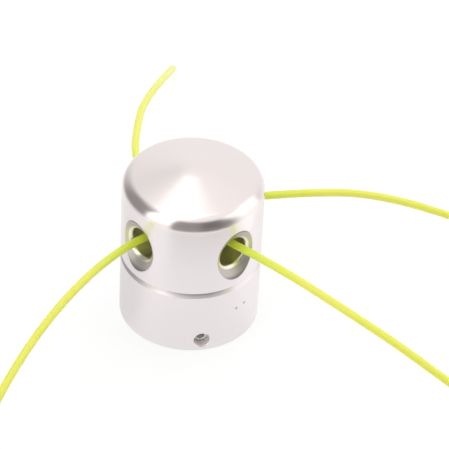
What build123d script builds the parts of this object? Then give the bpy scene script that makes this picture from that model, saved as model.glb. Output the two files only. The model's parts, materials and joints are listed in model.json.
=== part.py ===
from build123d import *
import os
from math import cos, hypot, isclose, pi, radians, sin, sqrt, tan

# Fixed line trimmer head. A turned base and a turned cap screw together round a
# cross-drilled carrier, which holds four stiff lines by a crimped stop on each.
# Millimetres, +Z up the spindle axis, origin at the centre of the seat face.

# Outside of the head
body_diameter = 53.0
body_height = 67.8
cone_slope = 14.0
tip_radius = 25.0
shoulder_radius = 5.3
foot_chamfer = 0.5

# Joint between base and cap, an M30 x 1.5 thread left plain
joint_height = 27.7
base_chamfer = 1.6
cap_chamfer = 0.8
screw_diameter = 30.0
screw_clearance = 0.1
screw_chamfer = 0.8

# Line passages through the wall of the cap, the first along +X
passage_count = 4
passage_rise = 14.9
passage_diameter = 11.9
flare_diameter = 22.6
flare_half_angle = 64.0
throat_radius = 1.6
rim_radius = 0.4

# Gaps from the passages down to the spigot and up to the roof of the chamber
spigot_gap = 0.65
roof_gap = 1.45

# Line carrier, a cup with one radial hole for each line
carrier_clearance = 0.1
carrier_chamfer = 0.5
well_diameter = 20.0
floor_thickness = 4.5
line_hole_diameter = 4.0
line_hole_rise = 2.0
line_hole_mouth = 0.9

# Stops crimped on the inner ends of the lines
line_diameter = 3.0
stop_diameter = 6.0
stop_length = 6.0
stop_clearance = 0.05
stop_chamfer = 0.4

# Dowel pin that keeps the carrier in line with the passages
pin_diameter = 3.0
pin_circle = 25.0
pin_turn = 45.0
pin_depth_carrier = 6.0
pin_depth_cap = 5.0
pin_clearance = 0.03
pin_chamfer = 0.4

# Steel bush for the spindle, its M10 x 1.25 left-hand thread left plain
thread_wall_diameter = 8.8
thread_mouth = 0.8
bush_diameter = 16.0
bush_recess = 0.8
bush_clearance = 0.02
bush_chamfer = 0.4
flange_diameter = 21.0
flange_bottom = 24.0
flange_thickness = 4.0

# Locking screw across the base, M6 with a hexagon socket
lock_height = 5.3
lock_turn = -28.4
lock_diameter = 6.0
lock_length = 16.0
lock_clearance = 0.05
lock_chamfer = 0.6
lock_hole_mouth = 0.35
lock_flat_depth = 0.4
lock_flat_height = 5.0
socket_across_flats = 3.0
socket_depth = 3.5

# Routes of the lines, from the crimped end out to the tip on the ground
line_routes = {
    "front_right": [
        (3.8, 0.0, 44.6),
        (16.0, 0.0, 44.6),
        (32.0, 3.0, 45.5),
        (51.5, 8.0, 44.0),
        (71.5, 13.5, 40.5),
        (91.0, 21.0, 34.5),
        (109.0, 29.5, 25.5),
        (124.5, 39.5, 15.0),
        (136.0, 50.5, 1.7),
    ],
    "back_right": [
        (0.0, 3.8, 44.6),
        (0.0, 16.0, 44.6),
        (4.5, 31.0, 41.5),
        (9.5, 49.0, 37.5),
        (16.5, 68.0, 33.0),
        (26.5, 85.5, 26.5),
        (39.5, 101.5, 19.0),
        (53.0, 117.5, 11.0),
        (66.0, 132.5, 1.7),
    ],
    "back_left": [
        (-3.8, 0.0, 44.6),
        (-16.0, 0.0, 44.6),
        (-29.5, 0.5, 44.0),
        (-44.0, 7.0, 42.0),
        (-58.5, 19.5, 39.5),
        (-73.0, 33.5, 35.0),
        (-86.0, 49.5, 28.5),
        (-98.0, 64.5, 20.5),
        (-109.5, 77.0, 11.5),
        (-121.0, 88.5, 1.7),
    ],
    "front_left": [
        (0.0, -3.8, 44.6),
        (0.0, -16.0, 44.6),
        (0.5, -32.0, 45.5),
        (4.0, -51.0, 44.5),
        (9.5, -71.5, 40.5),
        (16.5, -91.0, 34.5),
        (24.5, -109.5, 26.0),
        (33.5, -125.5, 15.0),
        (43.0, -139.0, 1.7),
    ],
}
arc_share = 0.45

# Sizes that follow from the ones above
body_radius = body_diameter / 2
cone_tip = body_height + tip_radius * (1 / cos(radians(cone_slope)) - 1)
eave_height = cone_tip - body_radius * tan(radians(cone_slope))
tip_edge_radius = tip_radius * sin(radians(cone_slope))
tip_edge_height = cone_tip - tip_edge_radius * tan(radians(cone_slope))

passage_height = joint_height + passage_rise
passage_radius = passage_diameter / 2
flare_radius = flare_diameter / 2
flare_spread = tan(radians(flare_half_angle))
throat_reach = body_radius - (flare_radius - passage_radius) / flare_spread
passage_step = 360 / passage_count

chamber_radius = screw_diameter / 2
chamber_roof = passage_height + passage_radius + roof_gap
spigot_radius = chamber_radius - screw_clearance
spigot_top = passage_height - passage_radius - spigot_gap
screw_length = spigot_top - joint_height

carrier_radius = chamber_radius - carrier_clearance
well_radius = well_diameter / 2
well_floor = spigot_top + floor_thickness
line_hole_radius = line_hole_diameter / 2
line_height = passage_height + line_hole_rise

line_radius = line_diameter / 2
stop_radius = stop_diameter / 2
stop_reach = sqrt(well_radius**2 - stop_radius**2) - stop_clearance

pin_radius = pin_diameter / 2
pin_hole_radius = pin_radius + pin_clearance
pin_x = pin_circle / 2 * cos(radians(pin_turn))
pin_y = pin_circle / 2 * sin(radians(pin_turn))
pin_bottom = chamber_roof - pin_depth_carrier

thread_radius = thread_wall_diameter / 2
bush_radius = bush_diameter / 2
flange_radius = flange_diameter / 2
flange_top = flange_bottom + flange_thickness

lock_seat = bush_radius - lock_flat_depth
lock_end = lock_seat + lock_length
lock_hole_radius = lock_diameter / 2

overshoot = 1.0

os.makedirs("parts", exist_ok=True)


def outwards(turn):
    """Unit vector square to the spindle axis, at an angle from +X."""
    return Vector(cos(radians(turn)), sin(radians(turn)), 0)


def radial_plane(turn, height):
    """Upright plane through the spindle axis, with local x pointing outwards."""
    direction = outwards(turn)
    return Plane((0, 0, height), x_dir=direction, z_dir=direction.cross(Vector(0, 0, 1)))


def radial_axis(turn, height):
    """Axis of a cross hole, from the spindle axis outwards."""
    return Axis((0, 0, height), outwards(turn))


def facing_plane(turn, height, reach):
    """Plane square to a radius of the head, facing outwards, with local x up."""
    direction = outwards(turn)
    origin = direction * reach + Vector(0, 0, height)
    return Plane(origin, x_dir=(0, 0, 1), z_dir=direction)


def ring_edges(piece, radius, height):
    """Circular edges of a turned piece at one radius and height."""
    return piece.edges().filter_by(
        lambda edge: edge.geom_type == GeomType.CIRCLE
        and isclose(edge.radius, radius, abs_tol=0.001)
        and isclose(edge.arc_center.Z, height, abs_tol=0.001)
    )


def wall_edges(piece, radius):
    """Edges that cross holes leave on a round wall of a turned piece."""
    return piece.edges().filter_by(
        lambda edge: edge.geom_type not in (GeomType.CIRCLE, GeomType.LINE)
        and isclose(hypot(edge.position_at(0).X, edge.position_at(0).Y), radius, abs_tol=0.01)
        and isclose(hypot(edge.position_at(0.3).X, edge.position_at(0.3).Y), radius, abs_tol=0.01)
    )


def bore(radius, bottom, top):
    """Cut a round hole on the spindle axis."""
    with BuildSketch(Plane.XY.offset(bottom)) as opening:
        Circle(radius)
    extrude(opening.sketch, amount=top - bottom, mode=Mode.SUBTRACT)


def cross_hole(turn, height, start, wall, radius, mouth_depth):
    """Cut a round hole outwards through a wall, with a 45 degree mouth."""
    with BuildSketch(radial_plane(turn, height)) as half_section:
        with BuildLine():
            Polyline(
                (start, 0),
                (start, radius),
                (wall - mouth_depth, radius),
                (wall + overshoot, radius + mouth_depth + overshoot),
                (wall + overshoot, 0),
                close=True,
            )
        make_face()
    revolve(half_section.sketch, axis=radial_axis(turn, height), mode=Mode.SUBTRACT)


def save(piece, name):
    """Label a finished piece and write its file."""
    piece.part.label = name
    export_step(piece.part, f"parts/{name}.step")


on_base = (Align.CENTER, Align.CENTER, Align.MIN)

# Base: lower body, screwed spigot, stepped bore for the bush, hole for the screw
with BuildPart() as base:
    Cylinder(body_radius, joint_height, align=on_base)
    chamfer(ring_edges(base, body_radius, 0), foot_chamfer)
    chamfer(ring_edges(base, body_radius, joint_height), base_chamfer)
    with Locations((0, 0, joint_height)):
        Cylinder(spigot_radius, screw_length, align=on_base)
    chamfer(ring_edges(base, spigot_radius, spigot_top), screw_chamfer)
    bore(bush_radius + bush_clearance, 0, spigot_top)
    bore(flange_radius + bush_clearance, flange_bottom, spigot_top)
    cross_hole(lock_turn, lock_height, thread_radius, body_radius, lock_hole_radius, lock_hole_mouth)
save(base, "base")

# Cap: conical top on a straight wall, chamber below, a flared passage for each line
with BuildPart() as cap:
    with BuildSketch(radial_plane(passage_step / 2, 0)):
        with BuildLine():
            Polyline(
                (0, body_height),
                (0, chamber_roof),
                (chamber_radius, chamber_roof),
                (chamber_radius, joint_height),
                (body_radius, joint_height),
                (body_radius, eave_height),
                (tip_edge_radius, tip_edge_height),
            )
            CenterArc((0, body_height - tip_radius), tip_radius, 90 - cone_slope, cone_slope)
        make_face()
    revolve(axis=Axis.Z)
    fillet(ring_edges(cap, body_radius, eave_height), shoulder_radius)
    chamfer(ring_edges(cap, body_radius, joint_height), cap_chamfer)
    chamfer(ring_edges(cap, chamber_radius, joint_height), screw_chamfer)
    for number in range(passage_count):
        with BuildSketch(radial_plane(number * passage_step, passage_height)) as passage:
            with BuildLine():
                Polyline(
                    (well_radius, 0),
                    (well_radius, passage_radius),
                    (throat_reach, passage_radius),
                    (body_radius + overshoot, flare_radius + overshoot * flare_spread),
                    (body_radius + overshoot, 0),
                    close=True,
                )
            make_face()
            throat = passage.vertices().sort_by_distance((throat_reach, passage_radius, 0))
            fillet(throat[0], throat_radius)
        revolve(axis=radial_axis(number * passage_step, passage_height), mode=Mode.SUBTRACT)
    fillet(wall_edges(cap, body_radius), rim_radius)
    with Locations((pin_x, pin_y, chamber_roof)):
        Cylinder(pin_hole_radius, pin_depth_cap, align=on_base, mode=Mode.SUBTRACT)
save(cap, "cap")

# Line carrier: a cup clamped between the spigot and the roof of the chamber
with BuildPart() as line_carrier:
    with Locations((0, 0, spigot_top)):
        Cylinder(carrier_radius, chamber_roof - spigot_top, align=on_base)
    chamfer(ring_edges(line_carrier, carrier_radius, spigot_top), carrier_chamfer)
    chamfer(ring_edges(line_carrier, carrier_radius, chamber_roof), carrier_chamfer)
    bore(well_radius, well_floor, chamber_roof)
    for number in range(passage_count):
        cross_hole(
            number * passage_step,
            line_height,
            well_radius / 2,
            carrier_radius,
            line_hole_radius,
            line_hole_mouth,
        )
    with Locations((pin_x, pin_y, pin_bottom)):
        Cylinder(pin_hole_radius, pin_depth_carrier, align=on_base, mode=Mode.SUBTRACT)
save(line_carrier, "line_carrier")

# Dowel pin between the carrier and the roof of the chamber
with BuildPart() as carrier_pin:
    with Locations((pin_x, pin_y, pin_bottom)):
        Cylinder(pin_radius, pin_depth_carrier + pin_depth_cap, align=on_base)
    chamfer(carrier_pin.edges().filter_by(GeomType.CIRCLE), pin_chamfer)
save(carrier_pin, "carrier_pin")

# Spindle bush: flanged, threaded right through, with a flat for the locking screw
with BuildPart() as spindle_bush:
    with Locations((0, 0, bush_recess)):
        Cylinder(bush_radius, flange_top - bush_recess, align=on_base)
    with Locations((0, 0, flange_bottom)):
        Cylinder(flange_radius, flange_thickness, align=on_base)
    with BuildSketch(facing_plane(lock_turn, lock_height, lock_seat)):
        Rectangle(2 * lock_flat_height, bush_diameter)
    extrude(amount=bush_radius, mode=Mode.SUBTRACT)
    chamfer(ring_edges(spindle_bush, flange_radius, flange_top), bush_chamfer)
    bore(thread_radius, bush_recess, flange_top)
    chamfer(ring_edges(spindle_bush, thread_radius, bush_recess), thread_mouth)
    chamfer(ring_edges(spindle_bush, thread_radius, flange_top), thread_mouth)
save(spindle_bush, "spindle_bush")

# Locking screw: bears on the flat of the bush, socket outwards
with BuildPart() as locking_screw:
    with BuildSketch(facing_plane(lock_turn, lock_height, lock_seat)):
        Circle(lock_hole_radius - lock_clearance)
    extrude(amount=lock_length)
    chamfer(locking_screw.edges().filter_by(GeomType.CIRCLE), lock_chamfer)
    with BuildSketch(facing_plane(lock_turn, lock_height, lock_end)):
        RegularPolygon(socket_across_flats / 2, 6, major_radius=False)
    extrude(amount=-socket_depth, mode=Mode.SUBTRACT)
save(locking_screw, "locking_screw")

# One stop and one line for each passage
for number, place in enumerate(line_routes):
    turn = number * passage_step
    with BuildPart() as line_stop:
        with BuildSketch(facing_plane(turn, line_height, stop_reach)):
            Circle(stop_radius)
            Circle(line_radius, mode=Mode.SUBTRACT)
        extrude(amount=-stop_length)
        rims = line_stop.edges().filter_by(GeomType.CIRCLE)
        chamfer(rims.filter_by(lambda edge: edge.radius > line_radius), stop_chamfer)
    save(line_stop, f"line_stop_{place}")

    route = [Vector(point) for point in line_routes[place]]
    runs = [after - before for before, after in zip(route, route[1:])]
    radii = []
    for before, after in zip(runs, runs[1:]):
        half_turn = radians(before.get_angle(after)) / 2
        radii.append(arc_share * min(before.length, after.length) / tan(half_turn))
    with BuildPart() as trimmer_line:
        with BuildLine() as path:
            FilletPolyline(*route, radius=radii)
        with BuildSketch(Plane(route[0], z_dir=runs[0])):
            Circle(line_radius)
        sweep(path=path.wires()[0])
    save(trimmer_line, f"line_{place}")
    print(place, "length", round(path.wires()[0].length, 1))
    print(place, "arc radii", [round(radius, 1) for radius in radii])
    print(place, "volume", round(trimmer_line.part.volume, 1))
    print(place, "section by length", round(pi * line_radius**2 * path.wires()[0].length, 1))
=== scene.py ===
import json
import math

import bmesh
import bpy
from mathutils import Matrix, Quaternion, Vector


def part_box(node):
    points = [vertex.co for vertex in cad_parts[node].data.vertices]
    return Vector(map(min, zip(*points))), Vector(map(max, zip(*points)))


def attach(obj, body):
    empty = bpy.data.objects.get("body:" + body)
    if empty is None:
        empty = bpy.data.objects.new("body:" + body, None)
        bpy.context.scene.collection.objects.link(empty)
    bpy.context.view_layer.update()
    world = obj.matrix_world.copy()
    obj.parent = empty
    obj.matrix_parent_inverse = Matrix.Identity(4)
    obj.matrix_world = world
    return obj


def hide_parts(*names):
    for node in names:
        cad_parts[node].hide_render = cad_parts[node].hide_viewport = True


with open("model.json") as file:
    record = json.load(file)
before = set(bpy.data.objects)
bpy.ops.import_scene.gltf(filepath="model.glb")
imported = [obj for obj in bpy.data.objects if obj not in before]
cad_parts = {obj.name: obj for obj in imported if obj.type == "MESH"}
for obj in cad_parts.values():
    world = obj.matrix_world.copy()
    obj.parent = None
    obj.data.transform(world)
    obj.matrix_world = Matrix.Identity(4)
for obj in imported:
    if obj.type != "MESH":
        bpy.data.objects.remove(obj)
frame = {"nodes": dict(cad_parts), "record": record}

# Everything is in metres, in the part's own frame: +Z up the spindle axis
bpy.context.view_layer.update()
body_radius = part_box("cap")[1].x
joint_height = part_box("cap")[0].z
line_diameter = 0.003
passage_height = 0.0426
passage_radius = 0.00595
flare_radius = 0.0113
shoulder_height = 0.0578

# Colours of the aluminium: turned wall and cone, cut passages with painted shade, highlight and
# reflection, a screw hole painted lighter as light, satin patches painted paler, and pits
bright_aluminium = (0.87, 0.81, 0.82, 1)
bright_aluminium_shade = (0.84, 0.79, 0.80, 1)
cone_aluminium = (0.91, 0.83, 0.815, 1)
cone_aluminium_shade = (0.88, 0.81, 0.795, 1)
cut_aluminium = (0.54, 0.51, 0.465, 1)
# Yellow reflection of the line, painted on the flare beside it
line_reflection_aluminium = (0.62, 0.61, 0.32, 1)
# Painted highlight in the throat of each passage
throat_highlight_aluminium = (0.91, 0.87, 0.70, 1)
# Dark rim of each flare: painted shade
rim_shade_aluminium = (0.27, 0.255, 0.235, 1)
# Olive bore deep in each passage: painted shade, tinted as the line's painted yellow light
bore_shade_and_line_light = (0.60, 0.58, 0.24, 1)
# Wall of the screw hole, painted lighter as light
hole_light_aluminium = (0.92, 0.88, 0.87, 1)
# Satin patches above the passages, painted paler as a pale reflection
satin_sheen_aluminium = (0.97, 0.91, 0.91, 1)
pit_aluminium = (0.40, 0.37, 0.36, 1)

# Spindle bush. The widths of its thread's root and flank are shares of the pitch
flange_bottom = 0.024
bush_radius = 0.008
flat_reach = 0.0076
flat_top = 0.0103
flange_chamfer = 0.0004
thread_pitch = 0.00125
thread_crest = 0.0043235
thread_root = 0.0050
thread_mouth = 0.0052
root_half_width = 1 / 16
flank_width = 5 / 16
rows_per_turn = 16
bush_steps = 96
hair = 0.00001

# Line stops, with their inner ends towards the spindle axis
line_height = 0.0446
stop_reach = 0.00949
stop_length = 0.006
stop_radius = 0.003
stop_edge = 0.0004
crimp_flat = 0.00272
crimp_margin = 0.0012
stop_steps = 72
crimp_stations = (0.0010, 0.0013, 0.0022, 0.0030, 0.0038, 0.0047, 0.0050)

# How near to a surface a vertex counts as on it, and how sharp an edge stays sharp
pick_slack = 0.0001
merge_distance = 0.000001
crease_angle = math.radians(28)

# Hole of the locking screw in the base, and two pits in its wall
lock_turn = math.radians(-28.4)
lock_height = 0.0053
lock_radius = 0.003
pits = [(0.02648, 0.00092, 0.01639), (0.02602, 0.00504, 0.01666)]

# Zones of the aluminium, each from where it starts to where it is full, or from full to none
cone_start = (shoulder_height - 0.002, shoulder_height + 0.001)
groove_depth = (body_radius - 0.00015, body_radius - 0.00003)
groove_width = (0.0016, 0.0018)
flare_edge = (flare_radius + 0.0001, flare_radius + 0.0004)
flare_mouth = (body_radius - 0.00018, body_radius - 0.00006)
rim_zone = (flare_radius - 0.0021, flare_radius - 0.0004)
throat_edge = (passage_radius + 0.0008, passage_radius + 0.0014)
bore_edge = (passage_radius + 0.0001, passage_radius + 0.0006)
deep_zone = (body_radius - 0.0100, body_radius - 0.0040)
# Height and width of the band where the line's yellow reflection is painted on each flare
line_rise = 0.0005
line_reflection_band = (0.0015, 0.0060)
satin_width = (0.006, 0.010)
satin_bottom = (0.0075, 0.0115)
satin_top = (0.0146, 0.0172)
hole_edge = (lock_radius + 0.0001, lock_radius + 0.0002)
hole_reach = (0.019, 0.020)
pit_edge = (0.0003, 0.0008)

# Roughness of the turned wall, and what each zone adds or takes
wall_roughness = 0.25
cone_polish = 0.10
lathe_roughness = 0.06
shade_roughness = 0.04
groove_roughness = 0.12
satin_roughness = 0.13
cut_roughness = 0.04
ring_roughness = 0.12
rim_roughness = 0.10
throat_polish = 0.10
bore_roughness = 0.25
hole_roughness = 0.35
grain_roughness = 0.12

# Noise scales, per metre, and how deep the tool marks are
lathe_scale = 3000.0
ring_scale = 2600.0
shade_scale = 70.0
grain_scale = 900.0
nylon_scale = 60.0
mark_strength = 0.5
mark_depth = 0.000004
ring_share = 2.0

# Colours of the nylon, painted greener and darker near the head as shade and paler far out as light,
# each between two random tones
shaded_nylon = (0.78, 0.95, 0.06, 1)
shaded_nylon_pale = (0.84, 0.97, 0.10, 1)
lit_nylon = (0.93, 0.965, 0.12, 1)
lit_nylon_pale = (0.98, 0.99, 0.17, 1)
nylon_fade = (0.026, 0.060)

# Routes of the lines, from the crimped end out to the tip on the ground
line_routes = {
    "front_right": [
        (0.0038, 0.0000, 0.0446),
        (0.0160, 0.0000, 0.0446),
        (0.0320, 0.0030, 0.0455),
        (0.0515, 0.0080, 0.0440),
        (0.0715, 0.0135, 0.0405),
        (0.0910, 0.0210, 0.0345),
        (0.1090, 0.0295, 0.0255),
        (0.1245, 0.0395, 0.0150),
        (0.1360, 0.0505, 0.0017),
    ],
    "back_right": [
        (0.0000, 0.0038, 0.0446),
        (0.0000, 0.0160, 0.0446),
        (0.0045, 0.0310, 0.0415),
        (0.0095, 0.0490, 0.0375),
        (0.0165, 0.0680, 0.0330),
        (0.0265, 0.0855, 0.0265),
        (0.0395, 0.1015, 0.0190),
        (0.0530, 0.1175, 0.0110),
        (0.0660, 0.1325, 0.0017),
    ],
    "back_left": [
        (-0.0038, 0.0000, 0.0446),
        (-0.0160, 0.0000, 0.0446),
        (-0.0295, 0.0005, 0.0440),
        (-0.0440, 0.0070, 0.0420),
        (-0.0585, 0.0195, 0.0395),
        (-0.0730, 0.0335, 0.0350),
        (-0.0860, 0.0495, 0.0285),
        (-0.0980, 0.0645, 0.0205),
        (-0.1095, 0.0770, 0.0115),
        (-0.1210, 0.0885, 0.0017),
    ],
    "front_left": [
        (0.0000, -0.0038, 0.0446),
        (0.0000, -0.0160, 0.0446),
        (0.0005, -0.0320, 0.0455),
        (0.0040, -0.0510, 0.0445),
        (0.0095, -0.0715, 0.0405),
        (0.0165, -0.0910, 0.0345),
        (0.0245, -0.1095, 0.0260),
        (0.0335, -0.1255, 0.0150),
        (0.0430, -0.1390, 0.0017),
    ],
}

# Camera, from the photograph's outlines
camera_azimuth = 49.6
camera_elevation = 41.57
camera_distance = 0.979
camera_lens = 204.6
camera_aim = Vector((-0.0076, 0.0229, 0.0233))
camera_roll = 2.97


class Shade:
    """An output socket of a shader tree. Arithmetic on it adds Math nodes."""

    def __init__(self, tree, socket=None):
        self.tree = tree
        self.socket = socket

    def node(self, kind, inputs, output=0, **settings):
        """Add a node: its settings first, then the values or links of its sockets."""
        node = self.tree.nodes.new(kind)
        for name, value in settings.items():
            setattr(node, name, value)
        for name, value in inputs.items():
            if isinstance(value, Shade):
                self.tree.links.new(value.socket, node.inputs[name])
            else:
                node.inputs[name].default_value = value
        return Shade(self.tree, node.outputs[output])

    def math(self, operation, *others):
        """Add a Math node."""
        values = dict(enumerate([self, *others]))
        return self.node("ShaderNodeMath", values, operation=operation)

    def __add__(self, other):
        return self.math("ADD", other)

    def __radd__(self, other):
        return self.math("ADD", other)

    def __sub__(self, other):
        return self.math("SUBTRACT", other)

    def __rsub__(self, other):
        return (self * -1).math("ADD", other)

    def __mul__(self, other):
        return self.math("MULTIPLY", other)

    def __rmul__(self, other):
        return self.math("MULTIPLY", other)

    def __truediv__(self, other):
        return self.math("DIVIDE", other)

    def __abs__(self):
        return self.math("ABSOLUTE")

    def dot(self, direction):
        """Share of a vector along a fixed direction."""
        values = {0: self, 1: direction}
        return self.node("ShaderNodeVectorMath", values, "Value", operation="DOT_PRODUCT")

    def rise(self, low, high):
        """Smooth step from 0 at low to 1 at high."""
        values = {"Value": self, "From Min": low, "From Max": high}
        return self.node("ShaderNodeMapRange", values, interpolation_type="SMOOTHSTEP")

    def blend(self, first, second):
        """Colour between two colours, by this share."""
        values = {"Factor": self, 6: first, 7: second}
        return self.node("ShaderNodeMix", values, 2, data_type="RGBA")


def new_material(name):
    """A new material, a start for its nodes, and its shader."""
    material = bpy.data.materials.new(name)
    material.use_nodes = True
    tree = material.node_tree
    shader = tree.nodes["Principled BSDF"]
    return material, Shade(tree), shader


def link(shader, name, value):
    """Feed one socket of a shader."""
    value.tree.links.new(value.socket, shader.inputs[name])


def distance(first, second):
    """Distance from an axis, from two measures square to it."""
    return (first * first + second * second).math("SQRT")


def tool_marks(along, scale):
    """Noise that changes along one measure only, as a cutting tool leaves it."""
    values = {"W": along, "Scale": scale, "Detail": 3.0}
    return along.node("ShaderNodeTexNoise", values, noise_dimensions="1D")


def soft_cloud(place, scale, detail):
    """Noise that changes in every direction."""
    values = {"Vector": place, "Scale": scale, "Detail": detail}
    return place.node("ShaderNodeTexNoise", values)


def finish_passages(x, y, z, radius, colour, roughness, height):
    """Finish of the four line passages: satin above, painted paler as a pale reflection; a dark rim of
    painted shade; a painted highlight in the throat; the line's painted yellow reflection beside it; and
    an olive bore, painted dark as shade and yellow as the line's light.
    """
    across = abs(x).math("MINIMUM", abs(y))
    above = z - passage_height
    spread = distance(across, above)
    cut = 1 - spread.rise(*flare_edge)
    cut = cut * (1 - radius.rise(*flare_mouth))
    # Satin above each passage: rougher, and painted paler as a pale reflection
    satin = (1 - across.rise(*satin_width)) * above.rise(*satin_bottom)
    satin = satin * (1 - above.rise(*satin_top))
    colour = satin.blend(colour, satin_sheen_aluminium)
    roughness = roughness + satin * satin_roughness
    rings = tool_marks(spread, ring_scale)
    rim = spread.rise(*rim_zone)
    bore = 1 - spread.rise(*bore_edge)
    throat = 1 - spread.rise(*throat_edge)
    deep = 1 - radius.rise(*deep_zone)
    # The line's yellow reflection, painted on the flare beside the line
    painted_line_reflection = 1 - abs(above - line_rise).rise(*line_reflection_band)
    # Painted shade on the flare's outer rim
    flare = rim.blend(painted_line_reflection.blend(cut_aluminium, line_reflection_aluminium), rim_shade_aluminium)
    # Painted highlight in the throat
    flare = throat.blend(flare, throat_highlight_aluminium)
    # The bore painted dark as shade and olive as the line's light, more so deeper in
    colour = cut.blend(colour, (deep * bore).blend(flare, bore_shade_and_line_light))
    added = cut_roughness + rings * ring_roughness + rim * rim_roughness
    added = added - throat * throat_polish + deep * bore * bore_roughness
    roughness = roughness + cut * added
    height = height * (1 - cut) + rings * cut * ring_share
    return colour, roughness, height


def finish_base_wall(place, z, colour, roughness):
    """A rougher wall in the locking screw's hole, painted lighter as light, and the two pits."""
    outward = place.dot((math.cos(lock_turn), math.sin(lock_turn), 0))
    across = place.dot((-math.sin(lock_turn), math.cos(lock_turn), 0))
    above = z - lock_height
    spread = distance(across, above)
    hole = (1 - spread.rise(*hole_edge)) * outward.rise(*hole_reach)
    # Painted light on the wall of the screw hole
    colour = hole.blend(colour, hole_light_aluminium)
    roughness = roughness + hole * hole_roughness
    for pit in pits:
        away = place.node("ShaderNodeVectorMath", {0: place, 1: pit}, "Value", operation="DISTANCE")
        colour = (1 - away.rise(*pit_edge)).blend(colour, pit_aluminium)
    return colour, roughness


def turned_aluminium(name, passages):
    """Turned aluminium, with its lathe lines round the spindle axis."""
    material, start, shader = new_material(name)
    place = start.node("ShaderNodeTexCoord", {}, "Object")
    x = place.dot((1, 0, 0))
    y = place.dot((0, 1, 0))
    z = place.dot((0, 0, 1))
    radius = distance(x, y)
    lines = tool_marks(z + radius, lathe_scale)
    shades = soft_cloud(place, shade_scale, 4.0)
    top = z.rise(*cone_start)
    colour = shades.blend(bright_aluminium, bright_aluminium_shade)
    colour = top.blend(colour, shades.blend(cone_aluminium, cone_aluminium_shade))
    roughness = wall_roughness - top * cone_polish
    roughness = roughness + lines * lathe_roughness + shades * shade_roughness
    groove = 1 - radius.rise(*groove_depth)
    groove = groove * (1 - abs(z - joint_height).rise(*groove_width))
    roughness = roughness + groove * groove_roughness
    height = lines
    if passages:
        colour, roughness, height = finish_passages(x, y, z, radius, colour, roughness, height)
    else:
        colour, roughness = finish_base_wall(place, z, colour, roughness)
    shader.inputs["Metallic"].default_value = 1.0
    shader.inputs["Anisotropic"].default_value = 0.4
    shader.inputs["Anisotropic Rotation"].default_value = 0.25
    link(shader, "Base Color", colour)
    link(shader, "Roughness", roughness)
    values = {"Height": height, "Strength": mark_strength, "Distance": mark_depth}
    link(shader, "Normal", start.node("ShaderNodeBump", values))
    return material


def plain_metal(name, colour, roughness):
    """Metal of one colour, with a fine grain in its gloss."""
    material, start, shader = new_material(name)
    place = start.node("ShaderNodeTexCoord", {}, "Object")
    grain = soft_cloud(place, grain_scale, 4.0)
    shader.inputs["Metallic"].default_value = 1.0
    shader.inputs["Base Color"].default_value = (*colour, 1)
    link(shader, "Roughness", roughness + grain * grain_roughness)
    return material


def nylon():
    """Yellow-green nylon, painted a little greener and darker near the head as shade, and paler far out
    as light.
    """
    material, start, shader = new_material("nylon line")
    place = start.node("ShaderNodeTexCoord", {}, "Object")
    cloud = soft_cloud(place, nylon_scale, 3.0)
    radius = distance(place.dot((1, 0, 0)), place.dot((0, 1, 0)))
    near = cloud.blend(shaded_nylon, shaded_nylon_pale)
    far = cloud.blend(lit_nylon, lit_nylon_pale)
    link(shader, "Base Color", radius.rise(*nylon_fade).blend(near, far))
    shader.inputs["Roughness"].default_value = 0.3
    shader.inputs["Subsurface Weight"].default_value = 0.5
    shader.inputs["Subsurface Radius"].default_value = (1.0, 1.0, 0.3)
    shader.inputs["Subsurface Scale"].default_value = 0.002
    return material


finishes = {
    "carrier_aluminium": plain_metal("carrier aluminium", (0.72, 0.72, 0.73), 0.25),
    "plated_steel": plain_metal("plated steel", (0.70, 0.69, 0.67), 0.28),
    "stop_aluminium": plain_metal("stop aluminium", (0.75, 0.75, 0.76), 0.3),
    "nylon_line": nylon(),
}
own_finishes = {
    "base": turned_aluminium("base aluminium", False),
    "cap": turned_aluminium("cap aluminium", True),
    "locking_screw": plain_metal("pale zinc", (0.92, 0.90, 0.89), 0.55),
}
for part in frame["record"]["subparts"]:
    node = frame["nodes"][part["node"]]
    for slot in node.material_slots:
        slot.material = own_finishes.get(part["node"]) or finishes[part["material_slot"]]


def lay_line(place, points):
    """One cut length of line, a smooth curve with the route's points as control points."""
    curve = bpy.data.curves.new(f"cutting_line_{place}", "CURVE")
    curve.dimensions = "3D"
    spline = curve.splines.new("NURBS")
    spline.points.add(len(points) - 1)
    for control, point in zip(spline.points, points):
        control.co = (*point, 1)
    spline.order_u = 3
    spline.use_endpoint_u = True
    spline.resolution_u = 24
    curve.bevel_depth = line_diameter / 2
    curve.bevel_resolution = 8
    curve.use_fill_caps = True
    curve.materials.append(finishes["nylon_line"])
    piece = bpy.data.objects.new(f"cutting_line_{place}", curve)
    bpy.context.scene.collection.objects.link(piece)
    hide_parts(f"line_{place}")
    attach(piece, "root")


for place, points in line_routes.items():
    lay_line(place, points)


def turn_outline(shape, outline, axis, steps):
    """Turn a closed outline once round an axis through the origin."""
    corners = [shape.verts.new(point) for point in outline]
    edges = [shape.edges.new(pair) for pair in zip(corners, corners[1:] + corners[:1])]
    bmesh.ops.spin(
        shape,
        geom=corners + edges,
        axis=axis,
        cent=(0, 0, 0),
        steps=steps,
        angle=math.tau,
        use_merge=True,
    )


def finish_piece(shape, name, slot):
    """A piece that takes the place of the CAD node of its name."""
    bmesh.ops.remove_doubles(shape, verts=shape.verts, dist=merge_distance)
    bmesh.ops.recalc_face_normals(shape, faces=shape.faces)
    for face in shape.faces:
        face.smooth = True
    mesh = bpy.data.meshes.new(f"{name}_detail")
    shape.to_mesh(mesh)
    shape.free()
    mesh.set_sharp_from_angle(angle=crease_angle)
    mesh.materials.append(finishes[slot])
    piece = bpy.data.objects.new(f"{name}_detail", mesh)
    bpy.context.scene.collection.objects.link(piece)
    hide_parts(name)
    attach(piece, "root")


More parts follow.
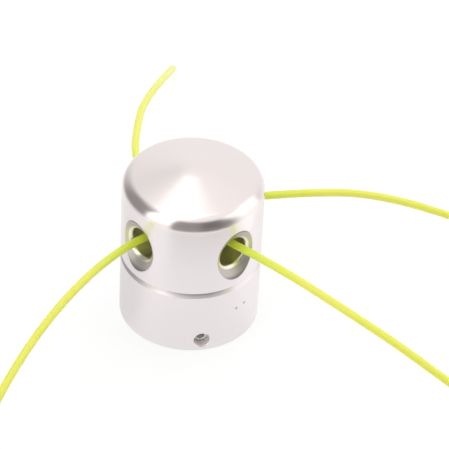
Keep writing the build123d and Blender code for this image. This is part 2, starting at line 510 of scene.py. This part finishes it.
def thread_bush():
    """Spindle bush, with its M10 x 1.25 left-hand thread and the flat for the locking screw."""
    low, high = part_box("spindle_bush")
    bottom, top, flange = low.z, high.z, high.x
    count = round((top - bottom) / thread_pitch * rows_per_turn)
    outline = [(thread_mouth, 0, bottom + (top - bottom) * row / count) for row in range(count + 1)]
    outline += [(flange - flange_chamfer, 0, top), (flange, 0, top - flange_chamfer)]
    outline += [(flange, 0, flange_bottom)]
    outline += [(bush_radius, 0, z) for z in (flange_bottom, flat_top, flat_top - hair, bottom)]
    shape = bmesh.new()
    turn_outline(shape, outline, (0, 0, 1), bush_steps)

    # The thread is pressed into the wall of the hole, and runs out at both mouths
    for vert in shape.verts:
        spot = vert.co
        radius = math.hypot(spot.x, spot.y)
        if radius < thread_mouth + pick_slack:
            turns = math.atan2(spot.y, spot.x) / math.tau
            from_root = abs((spot.z / thread_pitch + turns) % 1 - 0.5)
            crest = min(max((from_root - root_half_width) / flank_width, 0), 1)
            wall = thread_root + (thread_crest - thread_root) * crest
            wall = max(wall, thread_mouth - (spot.z - bottom), thread_mouth - (top - spot.z))
            vert.co = (spot.x * wall / radius, spot.y * wall / radius, spot.z)

    # The bush's lower end is cut where the flat meets it, and what stands proud of the flat is pushed in
    towards = Vector((math.cos(lock_turn), math.sin(lock_turn), 0))
    lower_end = [face for face in shape.faces if face.calc_center_median().z < flat_top]
    lower_end = [face for face in lower_end if face.calc_center_median().xy.length > thread_mouth]
    edges = {edge for face in lower_end for edge in face.edges}
    verts = {vert for face in lower_end for vert in face.verts}
    bmesh.ops.bisect_plane(
        shape,
        geom=lower_end + list(edges) + list(verts),
        plane_co=towards * flat_reach,
        plane_no=towards,
    )
    for vert in shape.verts:
        proud = vert.co.dot(towards) - flat_reach
        if vert.co.z < flat_top - hair / 2 and proud > 0:
            vert.co -= towards * proud
    finish_piece(shape, "spindle_bush", "plated_steel")


def crimp_stop(place, way):
    """Line stop, a sleeve squeezed to a hexagon round the line."""
    start = stop_reach - stop_length
    stations = [stop_edge, *crimp_stations, stop_length - stop_edge]
    outline = [(start, 0, line_diameter / 2), (start, 0, stop_radius - stop_edge)]
    outline += [(start + along, 0, stop_radius) for along in stations]
    outline += [(stop_reach, 0, stop_radius - stop_edge), (stop_reach, 0, line_diameter / 2)]
    shape = bmesh.new()
    turn_outline(shape, outline, (1, 0, 0), stop_steps)
    for vert in shape.verts:
        along, side, up = vert.co
        squeezed = start + crimp_margin < along < stop_reach - crimp_margin
        if squeezed and math.hypot(side, up) > stop_radius - pick_slack:
            corner = (math.atan2(up, side) + math.pi / 6) % (math.pi / 3) - math.pi / 6
            share = min(stop_radius, crimp_flat / math.cos(corner)) / stop_radius
            vert.co = (along, side * share, up * share)
    bmesh.ops.rotate(shape, verts=shape.verts, cent=(0, 0, 0), matrix=Matrix.Rotation(way, 3, "Z"))
    bmesh.ops.translate(shape, verts=shape.verts, vec=(0, 0, line_height))
    finish_piece(shape, f"line_stop_{place}", "stop_aluminium")


thread_bush()
for place, points in line_routes.items():
    crimp_stop(place, math.atan2(points[0][1], points[0][0]))


def add_camera():
    """Camera at the photograph's viewing angle."""
    azimuth = math.radians(camera_azimuth)
    elevation = math.radians(camera_elevation)
    towards = Vector(
        (
            math.sin(azimuth) * math.cos(elevation),
            -math.cos(azimuth) * math.cos(elevation),
            math.sin(elevation),
        )
    )
    camera = bpy.data.objects.new("camera", bpy.data.cameras.new("camera"))
    bpy.context.scene.collection.objects.link(camera)
    camera.location = towards * camera_distance
    camera.data.lens = camera_lens
    camera.data.sensor_width = 36
    camera.data.clip_start = 0.05
    camera.data.clip_end = 50
    sight = camera_aim - camera.location
    roll = Quaternion((0, 0, 1), math.radians(camera_roll))
    camera.rotation_mode = "QUATERNION"
    camera.rotation_quaternion = sight.to_track_quat("-Z", "Y") @ roll
    bpy.context.scene.camera = camera


add_camera()

# Studio directions, as seen from the camera: to the right, away and up
camera_turn = math.radians(camera_azimuth)
to_right = Vector((math.cos(camera_turn), math.sin(camera_turn), 0))
to_back = Vector((-math.sin(camera_turn), math.cos(camera_turn), 0))
upwards = Vector((0, 0, 1))

# Least values under a division
least_level = 0.0001
least_over = 0.05
least_reach = 0.01

# Studio lights round the horizon, as turns in radians from straight away, and their levels
room_level = 0.30
wall_facing = (0.26, 0.97)
wall_edge = (0.15, 1.0)
wall_gain = 0.66
doorway_turn = 2.62
doorway_edge = (0.10, 0.45)
doorway_dip = 0.12
softbox_turn = -2.26
softbox_edge = (0.29, 0.44)
softbox_lean = 0.15
softbox_level = 1.5
window_left = (0.92, 1.20)
window_right = (1.70, 2.34)
window_lean = 0.6
window_top = (0.80, 0.86)
window_level = 1.25

# Studio lights by height, as shares of straight up, and the softbox overhead
lean_start = (0.2, 0.8)
lean_gain = 0.35
corner_turn = -1.25
corner_edge = (0.30, 0.75)
corner_lift = 0.07
ceiling_start = (0.62, 0.90)
ceiling_level = 1.0
overhead_along = 0.942
overhead_aside = 0.335
overhead_left = (-0.60, -0.42)
overhead_right = (0.06, 0.22)
overhead_front = (-0.9, -0.35)
overhead_back = (0.405, 0.440)
overhead_level = 1.5

# The floor as shiny surfaces see it: pale near the head, lit by the studio further out
foot_level = 0.97
foot_reach = (0.035, 0.070)
foot_gain = 0.045
left_edge = (0.75, 1.0)
left_dip = 0.12
right_edge = (0.85, 1.0)
right_gain = 0.06
far_reach = (0.04, 0.45)
front_turn = -0.14
front_edge = (1.8, 2.4)
front_reach = (0.090, 0.150)
floor_light_level = 1.1

# The floor's own greys and glow, for light, for the camera and for shiny surfaces
floor_grey = (0.86, 0.86, 0.86, 1)
floor_grey_shown = (0.34, 0.34, 0.34, 1)
floor_grey_mirrored = (0.25, 0.25, 0.25, 1)
floor_glow_shown = 0.72
floor_share_mirrored = 0.21


def round_light(right, back, lean):
    """Brightness of the studio by direction round the horizon, for shiny surfaces."""
    turn = right.math("ARCTAN2", back)
    level = distance(right, back).math("MAXIMUM", least_level)
    # A pale wall behind, and the open dark room on the camera's side
    facing = (right * wall_facing[0] + back * wall_facing[1]) / level
    doorway = 1 - abs(turn - doorway_turn).rise(*doorway_edge)
    light = room_level - doorway * doorway_dip + facing.rise(*wall_edge) * wall_gain
    # An upright softbox on the left and a window on the right, wider at the top
    softbox = 1 - (abs(turn - softbox_turn) - lean * softbox_lean).rise(*softbox_edge)
    window = 1 - (turn - lean * window_lean).rise(*window_right)
    window = (turn + lean).rise(*window_left) * window
    return turn, light, softbox, window


def add_world():
    """The studio: the camera sees white, and shiny surfaces see its lights."""
    world = bpy.data.worlds.new("studio")
    world.use_nodes = True
    bpy.context.scene.world = world
    start = Shade(world.node_tree)
    sight = start.node("ShaderNodeTexCoord", {}, "Generated")
    right = sight.dot(to_right)
    back = sight.dot(to_back)
    up = sight.dot(upwards)
    lean = up.rise(*lean_start) * lean_gain
    turn, light, softbox, window = round_light(right, back, lean)
    corner = 1 - abs(turn - corner_turn).rise(*corner_edge)
    ceiling = (up - corner * corner_lift).rise(*ceiling_start)
    light = light + (ceiling_level - light) * ceiling
    light = light.math("MAXIMUM", softbox * softbox_level)
    light = light.math("MAXIMUM", window * (1 - up.rise(*window_top)) * window_level)

    # Softbox overhead, a turned rectangle with a sharp back edge
    over = up.math("MAXIMUM", least_over)
    width = (right * overhead_along - back * overhead_aside) / over
    depth = (right * overhead_aside + back * overhead_along) / over
    overhead = width.rise(*overhead_left) * (1 - width.rise(*overhead_right))
    overhead = overhead * depth.rise(*overhead_front) * (1 - depth.rise(*overhead_back))
    light = light.math("MAXIMUM", overhead * overhead_level)

    camera_ray = start.node("ShaderNodeLightPath", {}, "Is Camera Ray")
    strength = camera_ray + (1 - camera_ray) * light
    background = world.node_tree.nodes["Background"]
    background.inputs["Color"].default_value = (1, 1, 1, 1)
    world.node_tree.links.new(strength.socket, background.inputs["Strength"])


add_world()


def add_floor():
    """Pale floor, which keeps the part's shadow."""
    shape = bmesh.new()
    bmesh.ops.create_circle(shape, cap_ends=True, segments=96, radius=8)
    mesh = bpy.data.meshes.new("floor")
    shape.to_mesh(mesh)
    shape.free()
    floor = bpy.data.objects.new("floor", mesh)
    bpy.context.scene.collection.objects.link(floor)
    material, start, shader = new_material("floor")
    shader.inputs["Roughness"].default_value = 1.0
    shader.inputs["Specular IOR Level"].default_value = 0.0
    camera_ray = start.node("ShaderNodeLightPath", {}, "Is Camera Ray")
    glossy_ray = start.node("ShaderNodeLightPath", {}, "Is Glossy Ray")
    clear_ray = start.node("ShaderNodeLightPath", {}, "Is Transmission Ray")

    # Shiny surfaces see the floor take the light of the studio with distance
    place = start.node("ShaderNodeTexCoord", {}, "Object")
    right = place.dot(to_right)
    back = place.dot(to_back)
    reach = distance(right, back)
    turn, light, softbox, window = round_light(right, back, 0.0)
    light = light.math("MAXIMUM", softbox * floor_light_level)
    light = light.math("MAXIMUM", window * floor_light_level)
    front = abs(turn - front_turn).rise(*front_edge) * (1 - softbox)
    far = reach.rise(*far_reach).math("MAXIMUM", front * reach.rise(*front_reach))
    side = right / reach.math("MAXIMUM", least_reach)
    near_light = foot_level + reach.rise(*foot_reach) * foot_gain
    near_light = near_light - (side * -1).rise(*left_edge) * left_dip
    near_light = near_light + side.rise(*right_edge) * right_gain
    mirrored = near_light + (light - near_light) * far

    shown = camera_ray.math("MAXIMUM", clear_ray)
    own = glossy_ray.blend(shown.blend(floor_grey, floor_grey_shown), floor_grey_mirrored)
    added = (mirrored - floor_share_mirrored).math("MAXIMUM", 0.0)
    link(shader, "Base Color", own)
    link(shader, "Emission Color", shown * floor_glow_shown + glossy_ray * added)
    shader.inputs["Emission Strength"].default_value = 1.0
    mesh.materials.append(material)


add_floor()

bpy.context.scene.view_settings.view_transform = "Standard"

bpy.context.view_layer.update()
